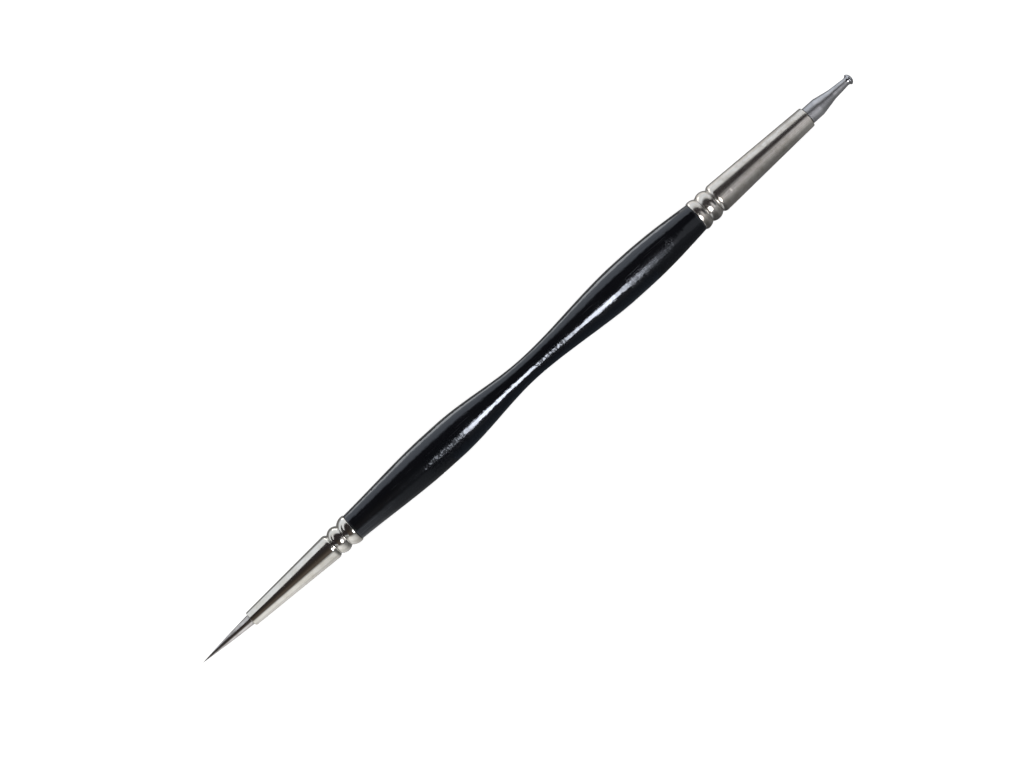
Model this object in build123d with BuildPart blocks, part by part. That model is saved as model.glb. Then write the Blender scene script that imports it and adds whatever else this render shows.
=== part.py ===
from build123d import *
from dataclasses import dataclass
import os

# Double-ended embossing stylus, millimetres, lying on a table along X.
# The needle points to -X and the dotting head to +X. The origin is the middle of the whole
# length, on the table under the tool's axis.

# Handle
handle_length = 79.45
swell_diameter = 7.3
waist_diameter = 4.35
tenon_length = 7.5
tenon_chamfer = 0.4
handle_edge_round = 0.12
rim_step = 0.12

# Length of the straight stretch on top of each swell, which the tool lies on
crest_length = 3.0

# Places of the swells' middles and of the waist along the handle, from the needle end
needle_swell_share = 0.2625
waist_share = 0.513
dotting_swell_share = 0.811

# Rise of the handle's outline for each unit of length, where it meets the ferrules
needle_end_slope_share = 0.045
dotting_end_slope_share = 0.11

# What both ferrules share: tube wall, rolled edges and the film of glue around what they hold
ferrule_wall = 0.4
groove_round = 0.15
rim_round = 0.12
mouth_round = 0.1
seat_clearance = 0.02

# Needle ferrule, lengths from its rim at the handle
needle_ferrule_length = 23.5
needle_rim_diameter = 5.44
needle_collar_diameter = 5.55
needle_collar_crest = 0.6
needle_collar_length = 2.05
needle_inner_groove_diameter = 4.2
needle_bead_diameter = 5.07
needle_bead_length = 2.35
needle_outer_groove_diameter = 3.88
needle_shoulder_length = 0.8
needle_cone_diameter = 4.76
needle_mouth_diameter = 2.86

# Dotting ferrule, lengths from its rim at the handle
dotting_ferrule_length = 25.6
dotting_rim_diameter = 5.69
dotting_collar_diameter = 5.83
dotting_collar_crest = 0.5
dotting_collar_length = 1.7
dotting_inner_groove_diameter = 4.96
dotting_bead_diameter = 5.73
dotting_bead_length = 2.45
dotting_outer_groove_diameter = 4.6
dotting_shoulder_length = 0.85
dotting_cone_diameter = 5.52
dotting_mouth_diameter = 3.98

# Needle tip
needle_exposed_length = 11.25
needle_point_radius = 0.03
needle_belly = 0.07

# Dotting tip
land_length = 2.6
land_gap = 0.15
land_lap = 0.03
cone_length = 3.2
cone_end_diameter = 1.98
neck_length = 3.15
neck_diameter = 1.46
flare_length = 0.55
head_diameter = 2.1
dome_length = 0.7
head_rim_round = 0.06

# Shanks and glue: the dotting tip's shank has play in the mouth, and the glue starts a setback inside
# the mouth and fills up behind the shank
dotting_shank_play = 0.17
shank_chamfer = 0.25
glue_setback = 1.2
glue_behind_shank = 2.3


@dataclass(frozen=True)
class Ferrule:
    """Outer sizes of one rolled ferrule. Lengths run from its rim at the handle to its mouth."""

    length: float
    rim_radius: float
    collar_radius: float
    collar_crest: float
    collar_length: float
    inner_groove_radius: float
    bead_radius: float
    bead_length: float
    outer_groove_radius: float
    shoulder_length: float
    cone_radius: float
    mouth_radius: float

    @property
    def inner_groove(self):
        """Length from the rim to the groove between collar and bead."""
        return self.collar_length

    @property
    def outer_groove(self):
        """Length from the rim to the groove between bead and cone."""
        return self.collar_length + self.bead_length

    @property
    def shoulder(self):
        """Length from the rim to the wide end of the cone."""
        return self.outer_groove + self.shoulder_length

    def cone_radius_at(self, place):
        """Outer radius of the cone at a length from the rim."""
        run_share = (place - self.shoulder) / (self.length - self.shoulder)
        return self.cone_radius + run_share * (self.mouth_radius - self.cone_radius)

    def groove_points(self, inset):
        """Bottoms of both grooves, on an outline that lies an inset under the surface."""
        return [
            (self.inner_groove, self.inner_groove_radius - inset),
            (self.outer_groove, self.outer_groove_radius - inset),
        ]


needle_end = Ferrule(
    length=needle_ferrule_length,
    rim_radius=needle_rim_diameter / 2,
    collar_radius=needle_collar_diameter / 2,
    collar_crest=needle_collar_crest,
    collar_length=needle_collar_length,
    inner_groove_radius=needle_inner_groove_diameter / 2,
    bead_radius=needle_bead_diameter / 2,
    bead_length=needle_bead_length,
    outer_groove_radius=needle_outer_groove_diameter / 2,
    shoulder_length=needle_shoulder_length,
    cone_radius=needle_cone_diameter / 2,
    mouth_radius=needle_mouth_diameter / 2,
)

dotting_end = Ferrule(
    length=dotting_ferrule_length,
    rim_radius=dotting_rim_diameter / 2,
    collar_radius=dotting_collar_diameter / 2,
    collar_crest=dotting_collar_crest,
    collar_length=dotting_collar_length,
    inner_groove_radius=dotting_inner_groove_diameter / 2,
    bead_radius=dotting_bead_diameter / 2,
    bead_length=dotting_bead_length,
    outer_groove_radius=dotting_outer_groove_diameter / 2,
    shoulder_length=dotting_shoulder_length,
    cone_radius=dotting_cone_diameter / 2,
    mouth_radius=dotting_mouth_diameter / 2,
)

# Lengths along the tool
dotting_exposed_length = land_length + cone_length + neck_length + flare_length + dome_length
overall_length = (
    needle_exposed_length + needle_end.length + handle_length + dotting_end.length + dotting_exposed_length
)
needle_joint = -overall_length / 2 + needle_exposed_length + needle_end.length
dotting_joint = needle_joint + handle_length

# The axis lies half as high as the tool's thickest places, the swells, so that they touch the table
axis_height = max(swell_diameter / 2, needle_end.collar_radius, dotting_end.collar_radius)
tool_axis = Axis((0, 0, axis_height), (1, 0, 0))

# Each end is drawn on a plane that starts at its joint with the handle and runs outwards
needle_plane = Plane(origin=(needle_joint, 0, axis_height), x_dir=(-1, 0, 0), z_dir=(0, 1, 0))
dotting_plane = Plane(origin=(dotting_joint, 0, axis_height), x_dir=(1, 0, 0), z_dir=(0, -1, 0))
handle_plane = Plane(origin=(needle_joint, 0, axis_height), x_dir=(1, 0, 0), z_dir=(0, -1, 0))

# What each ferrule's mouth and bore leave for the tip and the tenon
fill_inset = ferrule_wall + seat_clearance
needle_shank_radius = needle_end.mouth_radius - fill_inset
dotting_shank_radius = dotting_end.mouth_radius - fill_inset - dotting_shank_play
land_radius = dotting_end.mouth_radius - ferrule_wall + land_lap
shank_back = tenon_length + glue_behind_shank

# Direction of an outline that neither rises nor falls
level = (1, 0)

os.makedirs("parts", exist_ok=True)


def draw_rolled_outline(ferrule, inset, reach):
    """Draw a ferrule's outline, an inset under its surface, from its rim to a reach along its cone."""
    rim = (0, ferrule.rim_radius - inset)
    collar_crest = (ferrule.collar_crest, ferrule.collar_radius - inset)
    inner_groove, outer_groove = ferrule.groove_points(inset)
    bead_crest = (ferrule.inner_groove + ferrule.bead_length / 2, ferrule.bead_radius - inset)
    shoulder = (ferrule.shoulder, ferrule.cone_radius - inset)
    up_the_cone = (ferrule.shoulder - ferrule.length, ferrule.cone_radius - ferrule.mouth_radius)
    ThreePointArc(rim, collar_crest, inner_groove)
    ThreePointArc(inner_groove, bead_crest, outer_groove)
    TangentArc(shoulder, outer_groove, tangent=up_the_cone)
    Line(shoulder, (reach, ferrule.cone_radius_at(reach) - inset))


def corners_at(sketch, points):
    """Corners of a sketch nearest to the given points."""
    return [sketch.vertices().sort_by_distance(point)[0] for point in points]


# Handle: one turned piece, swelling twice around a waist, with a tenon for each ferrule
with BuildPart() as handle:
    needle_shoulder = (0, needle_end.rim_radius - rim_step)
    dotting_shoulder = (handle_length, dotting_end.rim_radius - rim_step)
    waist = (waist_share * handle_length, waist_diameter / 2)
    needle_crest, dotting_crest = [
        [(share * handle_length + side * crest_length / 2, swell_diameter / 2) for side in (-1, 1)]
        for share in (needle_swell_share, dotting_swell_share)
    ]
    with BuildSketch(handle_plane) as handle_profile:
        with BuildLine():
            Spline(needle_shoulder, needle_crest[0], tangents=[(1, needle_end_slope_share), level])
            Line(*needle_crest)
            Spline(needle_crest[1], waist, tangents=[level, level])
            Spline(waist, dotting_crest[0], tangents=[level, level])
            Line(*dotting_crest)
            Spline(dotting_crest[1], dotting_shoulder, tangents=[level, (1, -dotting_end_slope_share)])
            Polyline(dotting_shoulder, (handle_length, 0), (0, 0), needle_shoulder)
        make_face()
        fillet(corners_at(handle_profile, [needle_shoulder, dotting_shoulder]), handle_edge_round)
    revolve(axis=tool_axis)
    for ferrule, plane in [(needle_end, needle_plane), (dotting_end, dotting_plane)]:
        tenon_edge = (tenon_length, ferrule.cone_radius_at(tenon_length) - fill_inset)
        with BuildSketch(plane) as tenon_profile:
            with BuildLine():
                draw_rolled_outline(ferrule, fill_inset, tenon_length)
                Polyline(tenon_edge, (tenon_length, 0), (0, 0), (0, ferrule.rim_radius - fill_inset))
            make_face()
            fillet(corners_at(tenon_profile, ferrule.groove_points(fill_inset)), groove_round)
            chamfer(corners_at(tenon_profile, [tenon_edge]), tenon_chamfer)
        revolve(axis=tool_axis)
handle.part.label = "handle"
export_step(handle.part, "parts/handle.step")

# Ferrules: a drawn tube whose bore keeps one wall under its rolled outline
for name, ferrule, plane in [
    ("needle_ferrule", needle_end, needle_plane),
    ("dotting_ferrule", dotting_end, dotting_plane),
]:
    rim = (0, ferrule.rim_radius)
    mouth = (ferrule.length, ferrule.mouth_radius)
    with BuildPart() as tube:
        with BuildSketch(plane) as wall_profile:
            with BuildLine():
                draw_rolled_outline(ferrule, 0, ferrule.length)
                Line(mouth, (ferrule.length, ferrule.mouth_radius - ferrule_wall))
                draw_rolled_outline(ferrule, ferrule_wall, ferrule.length)
                Line((0, ferrule.rim_radius - ferrule_wall), rim)
            make_face()
            fillet(corners_at(wall_profile, ferrule.groove_points(0)), groove_round)
            fillet(corners_at(wall_profile, ferrule.groove_points(ferrule_wall)), groove_round)
            fillet(corners_at(wall_profile, [rim]), rim_round)
            fillet(corners_at(wall_profile, [mouth]), mouth_round)
        revolve(axis=tool_axis)
    tube.part.label = name
    export_step(tube.part, "parts/" + name + ".step")

# Needle tip: a straight shank in the ferrule, then a slightly full taper to a sharp point
with BuildPart() as needle_tip:
    point = needle_end.length + needle_exposed_length
    taper_start = (needle_end.length, needle_shank_radius)
    taper_end = (point - needle_point_radius, needle_point_radius)
    taper_middle = (
        (taper_start[0] + taper_end[0]) / 2,
        (taper_start[1] + taper_end[1]) / 2 + needle_belly,
    )
    with BuildSketch(needle_plane) as needle_profile:
        with BuildLine():
            Polyline((point, 0), (shank_back, 0), (shank_back, needle_shank_radius), taper_start)
            ThreePointArc(taper_start, taper_middle, taper_end)
            CenterArc((taper_end[0], 0), needle_point_radius, start_angle=0, arc_size=90)
        make_face()
        chamfer(corners_at(needle_profile, [(shank_back, needle_shank_radius)]), shank_chamfer)
    revolve(axis=tool_axis)
needle_tip.part.label = "needle_tip"
export_step(needle_tip.part, "parts/needle_tip.step")

# Dotting tip: a shank in the ferrule, a land just clear of its mouth, two cones, and a flare to a
# flattened head
with BuildPart() as dotting_tip:
    land_back = dotting_end.length + land_gap
    land_front = dotting_end.length + land_length
    cone_front = land_front + cone_length
    neck_front = cone_front + neck_length
    head_rim = neck_front + flare_length
    neck_end = (neck_front, neck_diameter / 2)
    rim_corner = (head_rim, head_diameter / 2)
    with BuildSketch(dotting_plane) as dotting_profile:
        with BuildLine():
            Polyline(
                (head_rim + dome_length, 0),
                (shank_back, 0),
                (shank_back, dotting_shank_radius),
                (land_back, dotting_shank_radius),
                (land_back, land_radius),
                (land_front, land_radius),
                (cone_front, cone_end_diameter / 2),
                neck_end,
            )
            TangentArc(neck_end, rim_corner, tangent=level)
            EllipticalCenterArc((head_rim, 0), dome_length, head_diameter / 2, start_angle=0, arc_size=90)
        make_face()
        fillet(corners_at(dotting_profile, [rim_corner]), head_rim_round)
        chamfer(corners_at(dotting_profile, [(shank_back, dotting_shank_radius)]), shank_chamfer)
    revolve(axis=tool_axis)
dotting_tip.part.label = "dotting_tip"
export_step(dotting_tip.part, "parts/dotting_tip.step")

# Glue plugs: what fills each ferrule between the tenon's end, the bore and the tip's shank
for name, ferrule, plane, shank_radius in [
    ("needle_glue_plug", needle_end, needle_plane, needle_shank_radius),
    ("dotting_glue_plug", dotting_end, dotting_plane, dotting_shank_radius),
]:
    back = tenon_length + seat_clearance
    front = ferrule.length - glue_setback
    pocket_back = shank_back - seat_clearance
    pocket_radius = shank_radius + seat_clearance
    with BuildPart() as plug:
        with BuildSketch(plane):
            with BuildLine():
                Polyline(
                    (back, 0),
                    (back, ferrule.cone_radius_at(back) - fill_inset),
                    (front, ferrule.cone_radius_at(front) - fill_inset),
                    (front, pocket_radius),
                    (pocket_back, pocket_radius),
                    (pocket_back, 0),
                    (back, 0),
                )
            make_face()
        revolve(axis=tool_axis)
    plug.part.label = name
    export_step(plug.part, "parts/" + name + ".step")
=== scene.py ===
"""Looks of a double-ended embossing stylus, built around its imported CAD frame.

Sizes in the classes are millimetres, and a mesh is turned into metres where it is built. The tool
lies along X on the table, with its needle at -X and its dotting head at +X. Each end is drawn from
its joint with the handle outwards, as its maker turns it, and is then set in place on the frame.
"""

import logging
import math
from collections.abc import Mapping, Sequence
from dataclasses import dataclass, field, replace
from enum import Enum
from functools import partial
from typing import Any

import bmesh
import bpy
import numpy as np
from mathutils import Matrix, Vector


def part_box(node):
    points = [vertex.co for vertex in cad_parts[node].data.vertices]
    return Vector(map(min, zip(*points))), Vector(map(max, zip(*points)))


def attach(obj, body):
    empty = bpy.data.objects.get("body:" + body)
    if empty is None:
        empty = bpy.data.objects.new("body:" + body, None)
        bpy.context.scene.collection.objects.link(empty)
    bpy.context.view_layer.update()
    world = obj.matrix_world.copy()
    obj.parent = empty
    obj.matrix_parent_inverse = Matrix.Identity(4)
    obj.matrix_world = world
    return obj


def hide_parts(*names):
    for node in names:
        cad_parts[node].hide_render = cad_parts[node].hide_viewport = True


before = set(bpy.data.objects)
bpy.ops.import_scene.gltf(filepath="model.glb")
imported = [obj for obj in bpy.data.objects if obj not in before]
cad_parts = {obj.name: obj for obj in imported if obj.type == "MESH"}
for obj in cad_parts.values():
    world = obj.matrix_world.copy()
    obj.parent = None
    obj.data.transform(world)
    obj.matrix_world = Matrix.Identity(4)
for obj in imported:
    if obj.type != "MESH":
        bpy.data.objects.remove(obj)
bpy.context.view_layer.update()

log = logging.getLogger("embossing_stylus")

MM = 0.001
BODY = "root"

Point = tuple[float, float]
Light = tuple[float, float, float]
Colour = tuple[float, float, float, float]
Stop = tuple[float, Colour]
NodeInputs = Mapping[Any, Any] | Sequence[Any]

WHITE: Colour = (1.0, 1.0, 1.0, 1.0)


class Along(Enum):
    """Which way an end runs from the handle, along X."""

    NEEDLE = -1
    DOTTING = 1


class Grain(Enum):
    """Which way the marks of a metal's making run."""

    DRAWN = "lengthwise, left by the die that the tube was drawn through"
    TURNED = "round the axis, left by a turning tool or a grinding wheel"


def linear(code: str) -> Colour:
    """Turn an sRGB hex colour into linear light.

    Args:
        code: The colour as "#rrggbb".

    Returns:
        Red, green, blue and alpha, linear.
    """
    shares = [int(code[place : place + 2], 16) / 255 for place in (1, 3, 5)]
    lit = [share / 12.92 if share <= 0.04045 else ((share + 0.055) / 1.055) ** 2.4 for share in shares]
    return (lit[0], lit[1], lit[2], 1.0)


def feed(node: bpy.types.Node, inputs: NodeInputs) -> None:
    """Give a node its inputs.

    Args:
        node: The node.
        inputs: For each input by its name, or in order, a value, an output socket to link from, or a
            node whose first output in use is linked. None leaves an input as it is.
    """
    pairs = inputs.items() if isinstance(inputs, Mapping) else enumerate(inputs)
    for key, value in pairs:
        if isinstance(value, bpy.types.Node):
            value = next(output for output in value.outputs if output.enabled)
        if isinstance(value, bpy.types.NodeSocket):
            node.id_data.links.new(value, node.inputs[key])
        elif value is not None:
            node.inputs[key].default_value = value


def add_node(
    tree: bpy.types.NodeTree, kind: str, inputs: NodeInputs = (), stops: Sequence[Stop] = (), **settings: Any
) -> bpy.types.Node:
    """Add one node to a tree.

    Args:
        tree: The tree that gets the node.
        kind: The node's type.
        inputs: What feed takes.
        stops: Places and colours of a colour ramp's stops, in order, where the node has a ramp.
        settings: The node's own properties.

    Returns:
        The new node.
    """
    node = tree.nodes.new(kind)
    for name, value in settings.items():
        setattr(node, name, value)
    for place, colour in stops[1:-1]:
        node.color_ramp.elements.new(place).color = colour
    if stops:
        for at in (0, -1):
            node.color_ramp.elements[at].position, node.color_ramp.elements[at].color = stops[at]
    feed(node, inputs)
    return node


@dataclass(frozen=True)
class Stretch:
    """One run of an outline: close points, the radius of the corner that it starts at, and its side."""

    points: list[Point]
    corner: float
    inner: bool


class Outline:
    """Half section of a turned piece, in lengths along its axis and radii.

    The piece lies on the right of the way that its outline is drawn.
    """

    fine_steps = 240
    corner_steps = 7
    least_gap = 1e-4

    def __init__(self, start: Point, inner: bool = False) -> None:
        """Start the outline at a point.

        Args:
            start: The point.
            inner: Whether the outline goes on inside another piece, and not on the side that shows.
        """
        self.end = start
        self.inner = inner
        self.stretches: list[Stretch] = []

    def add(self, points: list[Point], corner: float = 0.0) -> None:
        """Add a stretch of close points that starts at the outline's end, with its corner's radius."""
        self.stretches.append(Stretch(points, corner, self.inner))
        self.end = points[-1]

    def join(self, other: "Outline") -> None:
        """Add all the stretches of another outline that starts at this one's end."""
        self.stretches += other.stretches
        self.end = other.end

    def line(self, end: Point, corner: float = 0.0) -> None:
        """Add a straight stretch to a point.

        Args:
            end: The point.
            corner: Radius that rounds the corner at its start.
        """
        shares = np.linspace(0.0, 1.0, self.fine_steps + 1).tolist()
        (x, r), (to_x, to_r) = self.end, end
        self.add([(x + share * (to_x - x), r + share * (to_r - r)) for share in shares], corner)

    def arc(self, middle: Point, end: Point, corner: float = 0.0) -> None:
        """Add the circular arc that passes through a middle point to an end.

        Args:
            middle: A point on the arc.
            end: The arc's end.
            corner: Radius that rounds the corner at its start.
        """
        start, half, stop = Vector(self.end), Vector(middle), Vector(end)
        one, two = half - start, stop - start
        near, far = one.length_squared, two.length_squared
        twice = 2 * one.cross(two)
        centre = start + Vector((two.y * near - one.y * far, one.x * far - two.x * near)) / twice
        first, through, last = (math.atan2(*reversed(point - centre)) for point in (start, half, stop))
        turn = (last - first) % math.tau
        if (through - first) % math.tau > turn:
            turn -= math.tau
        radius = (start - centre).length
        angles = np.linspace(first, first + turn, self.fine_steps + 1).tolist()
        self.add([(centre.x + radius * math.cos(a), centre.y + radius * math.sin(a)) for a in angles], corner)

    def tangent_arc(self, end: Point, direction: Point, leaving: bool, corner: float = 0.0) -> None:
        """Add the circular arc to an end that has a given direction at one of its ends.

        Args:
            end: The arc's end.
            direction: The direction.
            leaving: Whether the direction holds at the arc's start instead of its end.
            corner: Radius that rounds the corner at its start.
        """
        start, stop = Vector(self.end), Vector(end)
        chord = stop - start
        lean = Vector(direction).angle_signed(chord) * (1 if leaving else -1)
        across = Vector((-chord.y, chord.x)).normalized()
        middle = (start + stop) / 2 + across * (chord.length / 2 * math.tan(lean / 2))
        self.arc((middle.x, middle.y), end, corner)

    def ease(self, end: Point, leave: Point, arrive: Point, corner: float = 0.0) -> None:
        """Add a smooth cubic stretch with a given direction at each of its ends.

        Args:
            end: The stretch's end.
            leave: Direction at its start.
            arrive: Direction at its end.
            corner: Radius that rounds the corner at its start.
        """
        start, stop = Vector(self.end), Vector(end)
        reach = (stop - start).length
        out, into = Vector(leave).normalized() * reach, Vector(arrive).normalized() * reach
        points = []
        for t in np.linspace(0.0, 1.0, self.fine_steps + 1).tolist():
            point = (2 * t**3 - 3 * t**2 + 1) * start + (t**3 - 2 * t**2 + t) * out
            point += (3 * t**2 - 2 * t**3) * stop + (t**3 - t**2) * into
            points.append((point.x, point.y))
        self.add(points, corner)

    def dome(self, height: float, corner: float = 0.0) -> None:
        """Add the quarter ellipse that closes the outline on its axis.

        Args:
            height: How much further along the axis it ends.
            corner: Radius that rounds the corner at its start.
        """
        x, r = self.end
        angles = np.linspace(0.0, math.pi / 2, self.fine_steps + 1).tolist()
        points = [(x + height * math.sin(a), r * math.cos(a)) for a in angles[:-1]]
        self.add(points + [(x + height, 0.0)], corner)

    def reversed(self) -> "Outline":
        """Draw the same outline from its end back to its start.

        Returns:
            The outline that runs back.
        """
        back = Outline(self.end, self.inner)
        corners = [stretch.corner for stretch in self.stretches[1:]] + [0.0]
        for stretch, corner in zip(reversed(self.stretches), reversed(corners)):
            back.inner = stretch.inner
            back.add(stretch.points[::-1], corner)
        return back

    def placed(self, start: float, outwards: int) -> "Outline":
        """Put the same outline on a longer piece.

        Args:
            start: Where its zero comes on the longer piece.
            outwards: 1 where it runs the longer piece's way, and -1 where it runs against it.

        Returns:
            The outline in the longer piece's lengths.
        """
        other = Outline((start + outwards * self.end[0], self.end[1]), self.inner)
        for stretch in self.stretches:
            other.inner = stretch.inner
            other.add([(start + outwards * x, r) for x, r in stretch.points], stretch.corner)
        return other

    def rounded(self) -> list[Stretch]:
        """Cut each corner back to its radius and put a round stretch in it.

        Returns:
            All the stretches in order, the corners' own ones among them.
        """
        rounded: list[Stretch] = []
        for stretch in self.stretches:
            if stretch.corner and rounded:
                before, after = rounded[-1].points, stretch.points
                into = (Vector(before[-1]) - Vector(before[-2])).normalized()
                out = (Vector(after[1]) - Vector(after[0])).normalized()
                reach = stretch.corner * math.tan(into.angle(out) / 2)
                tip = Vector(after[0])
                before = [point for point in before if (Vector(point) - tip).length > reach]
                after = [point for point in after if (Vector(point) - tip).length > reach]
                shares = np.linspace(0.0, 1.0, self.corner_steps + 1).tolist()
                ends = Vector(before[-1]), Vector(after[0])
                bends = [(1 - t) ** 2 * ends[0] + 2 * t * (1 - t) * tip + t**2 * ends[1] for t in shares]
                rounded[-1] = replace(rounded[-1], points=before)
                rounded.append(Stretch([(bend.x, bend.y) for bend in bends], 0.0, stretch.inner))
                stretch = replace(stretch, points=after)
            rounded.append(stretch)
        return rounded

    def sampled(self, step: float) -> tuple[np.ndarray, np.ndarray]:
        """Pick the outline's points for a mesh.

        Args:
            step: Most that two points on a long stretch may lie apart.

        Returns:
            The points in order, each given once, and for each whether it lies inside another piece.
        """
        points: list[Point] = []
        inner: list[bool] = []
        for stretch in self.rounded():
            length = math.dist(stretch.points[0], stretch.points[-1])
            pieces = max(self.corner_steps, math.ceil(length / step))
            for share in range(pieces + 1):
                point = stretch.points[round(share * (len(stretch.points) - 1) / pieces)]
                if not points or math.dist(point, points[-1]) > self.least_gap:
                    points.append(point)
                    inner.append(stretch.inner)
        return np.array(points), np.array(inner)


@dataclass(frozen=True)
class Dent:
    """A small ding: its place along X, its share of the way across from the middle, its reach and depth."""

    x: float = 0.0
    across_share: float = 0.0
    reach: float = 0.0
    depth: float = 0.0


@dataclass(frozen=True)
class Surface:
    """How far a turned piece strays from its drawn outline, always inwards, and how finely it is meshed."""

    step: float = 0.14
    sides: int = 128
    wave_depth: float = 0.0
    wave_length: float = 6.0
    wave_stretch: float = 0.5
    mark_depth: float = 0.0
    mark_pitch: float = 0.35
    seed: float = 1.0
    dent: Dent = Dent()


@dataclass(frozen=True)
class Place:
    """Where a piece's outline starts on the tool's axis, and which way it runs."""

    start: float
    along: Along
    axis_height: float

    def x_of(self, length: float) -> float:
        """Give the place along X of a length on the outline."""
        return self.start + self.along.value * length


@dataclass(frozen=True)
class Job:
    """What the lathe needs to know to turn one piece."""

    name: str
    outline: Outline
    place: Place
    surface: Surface
    finish: bpy.types.Material
    inner_finish: bpy.types.Material
    # Joints along the piece where shade is painted
    painted_shade_at: tuple[float, ...] = ()
    looped: bool = False


class LatheTree:
    """Geometry Nodes tree that turns an outline, given as a chain of edges, into a closed piece."""

    sockets = {
        "Outline": "NodeSocketGeometry",
        "Sides": "NodeSocketInt",
        "Axis Height": "NodeSocketFloat",
        "Wave Depth": "NodeSocketFloat",
        "Wave Length": "NodeSocketFloat",
        "Wave Stretch": "NodeSocketFloat",
        "Mark Depth": "NodeSocketFloat",
        "Mark Pitch": "NodeSocketFloat",
        "Dent Place": "NodeSocketVector",
        "Dent Reach": "NodeSocketFloat",
        "Dent Depth": "NodeSocketFloat",
        "Seed": "NodeSocketFloat",
        "Finish": "NodeSocketMaterial",
        "Inner Finish": "NodeSocketMaterial",
    }
    # Values carried from each outline point to its ring: whether it is inside another piece, painted shade in
    # hollows and at joints, and rubbed edges
    carried = ("inner", "soil", "rub")
    merge_distance = 5e-8
    wave_detail = 1.5

    def __init__(self) -> None:
        """Make the tree with its named inputs and link it."""
        self.tree = bpy.data.node_groups.new("lathe", "GeometryNodeTree")
        for name, kind in self.sockets.items():
            self.tree.interface.new_socket(name=name, in_out="INPUT", socket_type=kind)
        self.tree.interface.new_socket(name="Piece", in_out="OUTPUT", socket_type="NodeSocketGeometry")
        self.add = partial(add_node, self.tree)
        self.given = self.add("NodeGroupInput").outputs
        self.link()

    def identifiers(self) -> dict[str, str]:
        """Give each input's identifier by its name."""
        items = self.tree.interface.items_tree
        return {item.name: item.identifier for item in items if item.in_out == "INPUT"}

    def link(self) -> None:
        """Link the tree: a grid of rings and spokes, bent round the axis, worn, closed and finished."""
        add, given = self.add, self.given
        count = add("GeometryNodeAttributeDomainSize", {"Geometry": given["Outline"]}).outputs["Point Count"]
        spokes = add("ShaderNodeMath", (given["Sides"], 1.0), operation="ADD")
        grid = add("GeometryNodeMeshGrid", {"Vertices X": count, "Vertices Y": spokes})
        index = add("GeometryNodeInputIndex")
        spoke = add("ShaderNodeMath", (index, spokes), operation="FLOORED_MODULO")
        before = add("ShaderNodeMath", (index, spoke), operation="SUBTRACT")
        ring = add("ShaderNodeMath", (before, spokes), operation="DIVIDE")
        ring = add("ShaderNodeMath", (ring,), operation="ROUND")
        share = add("ShaderNodeMath", (spoke, given["Sides"]), operation="DIVIDE")
        angle = add("ShaderNodeMath", (share, math.tau), operation="MULTIPLY")

        per_ring = partial(add, "GeometryNodeSampleIndex")
        outline = {"Geometry": given["Outline"], "Index": ring}
        values = {}
        for name in self.carried:
            named = add("GeometryNodeInputNamedAttribute", {"Name": name}, data_type="FLOAT")
            values[name] = per_ring({**outline, "Value": named}, data_type="FLOAT")
        drawn = add("GeometryNodeInputPosition")
        drawn = per_ring({**outline, "Value": drawn}, data_type="FLOAT_VECTOR")
        drawn = add("ShaderNodeSeparateXYZ", (drawn,)).outputs
        bent = self.bend(drawn["X"], drawn["Z"], angle, values["inner"])

        mesh = grid.outputs["Mesh"]
        for name, value in values.items():
            stored = {"Geometry": mesh, "Name": name, "Value": value}
            mesh = add("GeometryNodeStoreNamedAttribute", stored, data_type="FLOAT", domain="POINT")
        stored = {"Geometry": mesh, "Name": "UVMap", "Value": grid.outputs["UV Map"]}
        mesh = add("GeometryNodeStoreNamedAttribute", stored, data_type="FLOAT2", domain="CORNER")
        mesh = add("GeometryNodeSetPosition", {"Geometry": mesh, "Position": bent})
        mesh = add("GeometryNodeMergeByDistance", {"Geometry": mesh, "Distance": self.merge_distance})
        mesh = add("GeometryNodeSetShadeSmooth", {"Geometry": mesh})
        mesh = add("GeometryNodeRealizeInstances", {"Geometry": mesh})
        mesh = add("GeometryNodeSetMaterial", {"Geometry": mesh, "Material": given["Finish"]})
        named = add("GeometryNodeInputNamedAttribute", {"Name": "inner"}, data_type="FLOAT")
        inner = add("FunctionNodeCompare", (named, 0.5), data_type="FLOAT", operation="GREATER_THAN")
        inputs = {"Geometry": mesh, "Selection": inner, "Material": given["Inner Finish"]}
        add("NodeGroupOutput", {"Piece": add("GeometryNodeSetMaterial", inputs)})

    def bend(
        self,
        x: bpy.types.NodeSocket,
        radius: bpy.types.NodeSocket,
        angle: bpy.types.Node,
        inner: bpy.types.Node,
    ) -> bpy.types.Node:
        """Work out where each point of the grid goes.

        Args:
            x: Place along the tool of the point's ring.
            radius: Drawn radius of its ring.
            angle: The point's angle round the axis, from straight up.
            inner: 1 on a ring inside another piece, which no wave, mark or dent reaches.

        Returns:
            The node that gives the point's place.
        """
        add, given = self.add, self.given
        sine = add("ShaderNodeMath", (angle,), operation="SINE")
        cosine = add("ShaderNodeMath", (angle,), operation="COSINE")
        round_it = add("ShaderNodeCombineXYZ", (0.0, sine, cosine))
        out = add("ShaderNodeVectorMath", {"Vector": round_it, "Scale": radius}, operation="SCALE")

        squeezed = add("ShaderNodeMath", (x, given["Wave Stretch"]), operation="MULTIPLY")
        squeezed = add("ShaderNodeCombineXYZ", (squeezed,))
        wave_place = add("ShaderNodeVectorMath", (out, squeezed), operation="ADD")
        wave_scale = add("ShaderNodeMath", (1.0, given["Wave Length"]), operation="DIVIDE")
        inputs = {"Vector": wave_place, "W": given["Seed"], "Scale": wave_scale, "Detail": self.wave_detail}
        wave = add("ShaderNodeTexNoise", inputs, noise_dimensions="4D")
        mark_place = add("ShaderNodeMath", (x, given["Mark Pitch"]), operation="DIVIDE")
        inputs = {"Vector": round_it, "W": mark_place, "Scale": 1.0, "Detail": 0.0}
        mark = add("ShaderNodeTexNoise", inputs, noise_dimensions="4D")

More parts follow.
